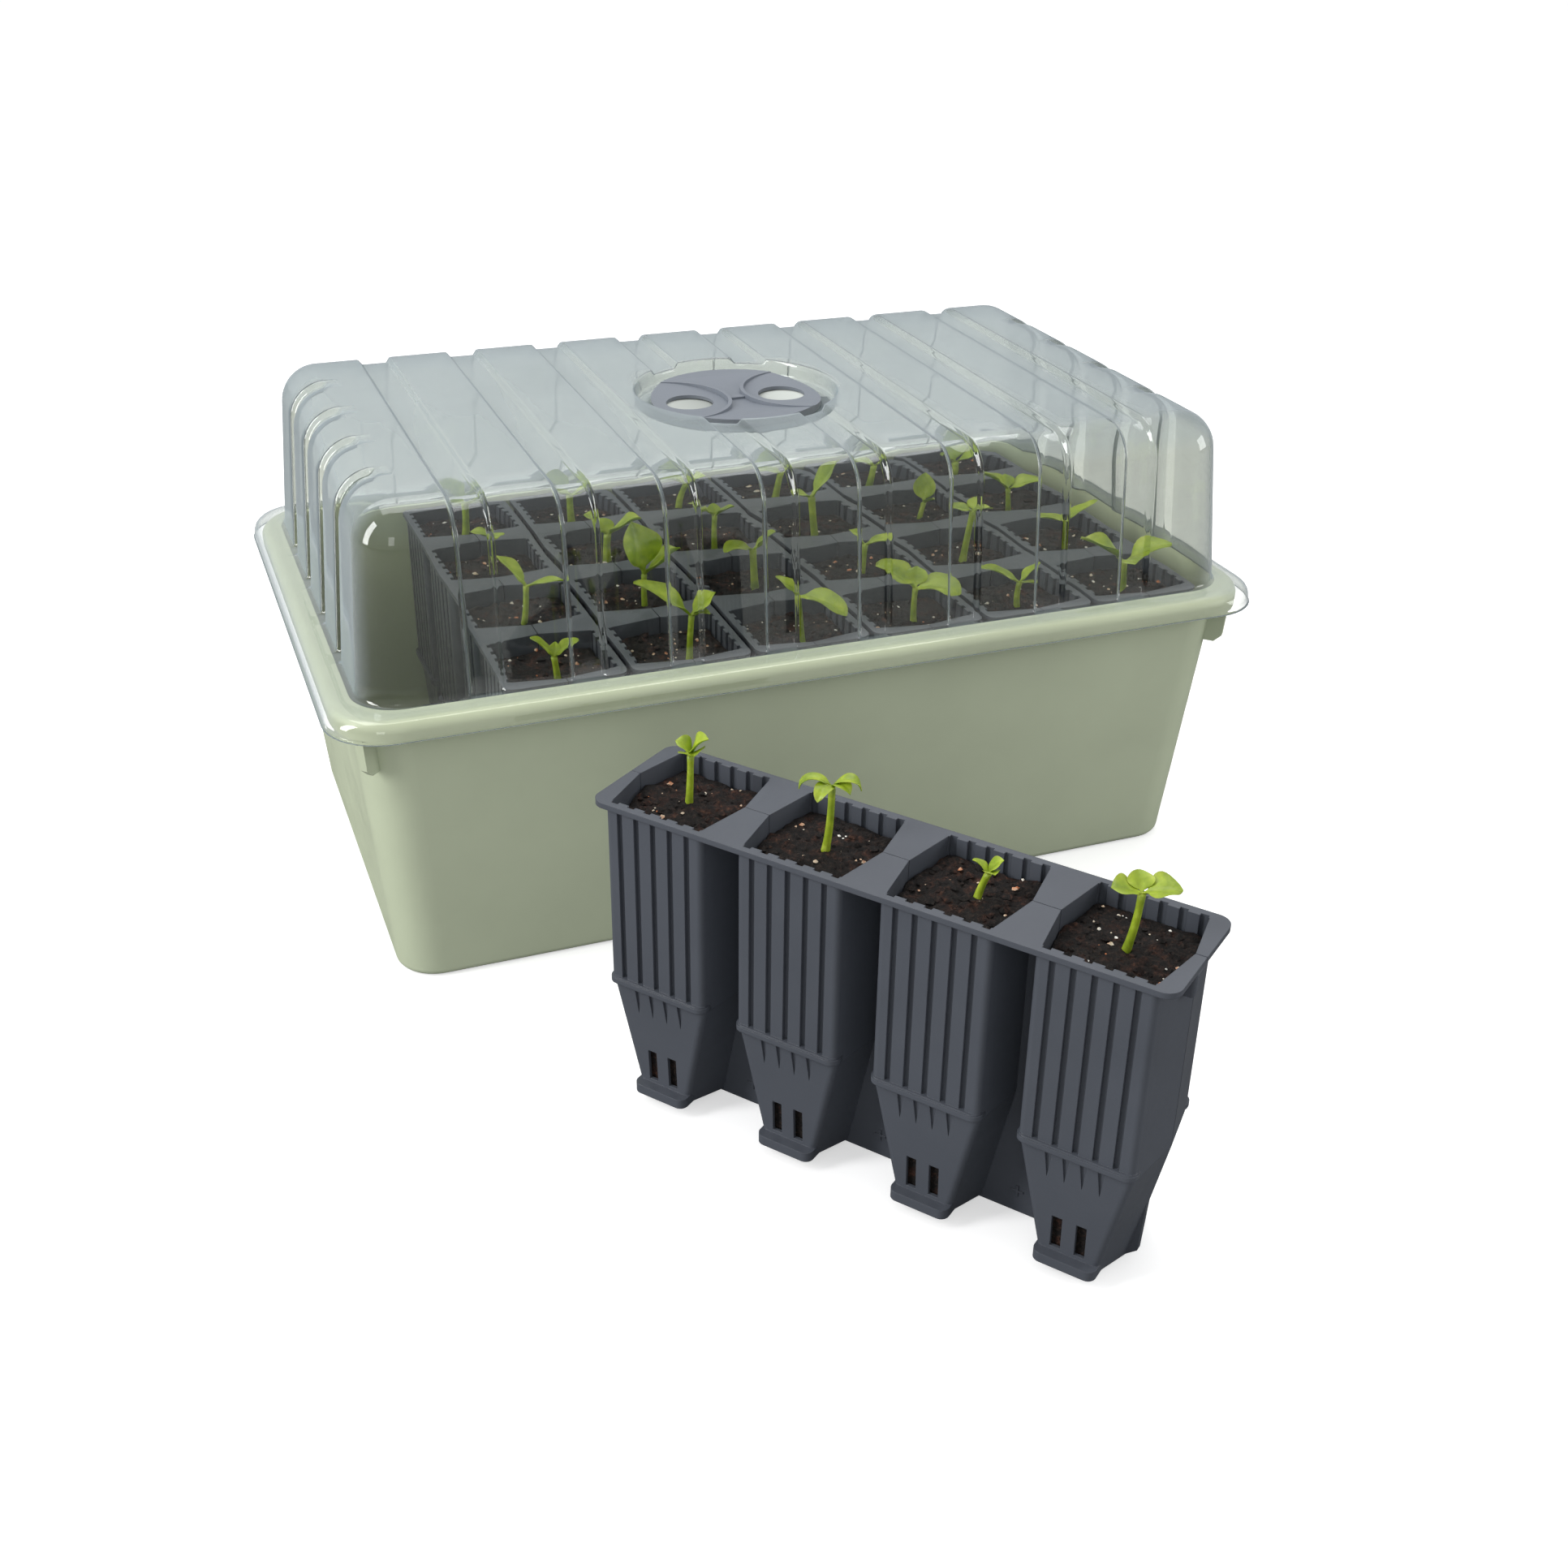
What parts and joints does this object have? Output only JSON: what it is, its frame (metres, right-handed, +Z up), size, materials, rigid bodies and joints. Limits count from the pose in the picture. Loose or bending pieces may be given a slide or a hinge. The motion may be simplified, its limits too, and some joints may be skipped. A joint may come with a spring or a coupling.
{
  "type": "humidity dome tray",
  "caption": "Deep seed tray with a clear ribbed dome and turning vent, filled with book-type root-trainer strips of seedlings, one strip standing outside.",
  "frame": {"origin": "centre of the tray's flat underside", "axes": "+X along the tray's length towards its right end, +Y across the tray towards its back, +Z up"},
  "size_m": [0.3816, 0.4653, 0.1922],
  "materials": {
    "tray_plastic": "satin moulded polypropylene in sage green",
    "clear_dome": "clear glossy thermoformed sheet",
    "slate_plastic": "matte slate-grey formed plastic",
    "compost": "moist crumbly peat compost with perlite specks",
    "seedling": "soft fresh green leaf"
  },
  "bodies": {
    "tray": {"tray": "tray_plastic"},
    "dome": {"dome": "clear_dome"},
    "vent": {"vent_disc": "slate_plastic"},
    "strip_1": {"strip_1_right_half": "slate_plastic", "strip_1_left_half": "slate_plastic", "strip_1_compost": "compost", "strip_1_seedlings": "seedling"},
    "strip_2": {"strip_2_right_half": "slate_plastic", "strip_2_left_half": "slate_plastic", "strip_2_compost": "compost", "strip_2_seedlings": "seedling"},
    "strip_3": {"strip_3_right_half": "slate_plastic", "strip_3_left_half": "slate_plastic", "strip_3_compost": "compost", "strip_3_seedlings": "seedling"},
    "strip_4": {"strip_4_right_half": "slate_plastic", "strip_4_left_half": "slate_plastic", "strip_4_compost": "compost", "strip_4_seedlings": "seedling"},
    "strip_5": {"strip_5_right_half": "slate_plastic", "strip_5_left_half": "slate_plastic", "strip_5_compost": "compost", "strip_5_seedlings": "seedling"},
    "strip_6": {"strip_6_right_half": "slate_plastic", "strip_6_left_half": "slate_plastic", "strip_6_compost": "compost", "strip_6_seedlings": "seedling"},
    "loose_strip": {"loose_strip_back_half": "slate_plastic", "loose_strip_compost": "compost", "loose_strip_seedlings": "seedling"},
    "loose_strip_front": {"loose_strip_front_half": "slate_plastic"}
  },
  "joints": [
    {"name": "dome_lift", "type": "slide", "parent": "tray", "child": "dome", "axis": [0, 0, 1], "range_m": [0, 0.15]},
    {"name": "vent_turn", "type": "hinge", "parent": "dome", "child": "vent", "pos_m": [0, 0, 0.1858], "axis": [0, 0, 1], "range_deg": [0, 90]},
    {"name": "strip_1_lift", "type": "slide", "parent": "tray", "child": "strip_1", "axis": [0, 0, 1], "range_m": [0, 0.015]},
    {"name": "strip_2_lift", "type": "slide", "parent": "tray", "child": "strip_2", "axis": [0, 0, 1], "range_m": [0, 0.015]},
    {"name": "strip_3_lift", "type": "slide", "parent": "tray", "child": "strip_3", "axis": [0, 0, 1], "range_m": [0, 0.015]},
    {"name": "strip_4_lift", "type": "slide", "parent": "tray", "child": "strip_4", "axis": [0, 0, 1], "range_m": [0, 0.015]},
    {"name": "strip_5_lift", "type": "slide", "parent": "tray", "child": "strip_5", "axis": [0, 0, 1], "range_m": [0, 0.015]},
    {"name": "strip_6_lift", "type": "slide", "parent": "tray", "child": "strip_6", "axis": [0, 0, 1], "range_m": [0, 0.015]},
    {"name": "loose_strip_lift", "type": "slide", "parent": "tray", "child": "loose_strip", "axis": [0, 0, 1], "range_m": [0, 0.12]},
    {"name": "loose_strip_open", "type": "hinge", "parent": "loose_strip", "child": "loose_strip_front", "pos_m": [-0.0376, -0.2522, 0.001], "axis": [0.6004, -0.7997, 0], "range_deg": [0, 10]}
  ]
}
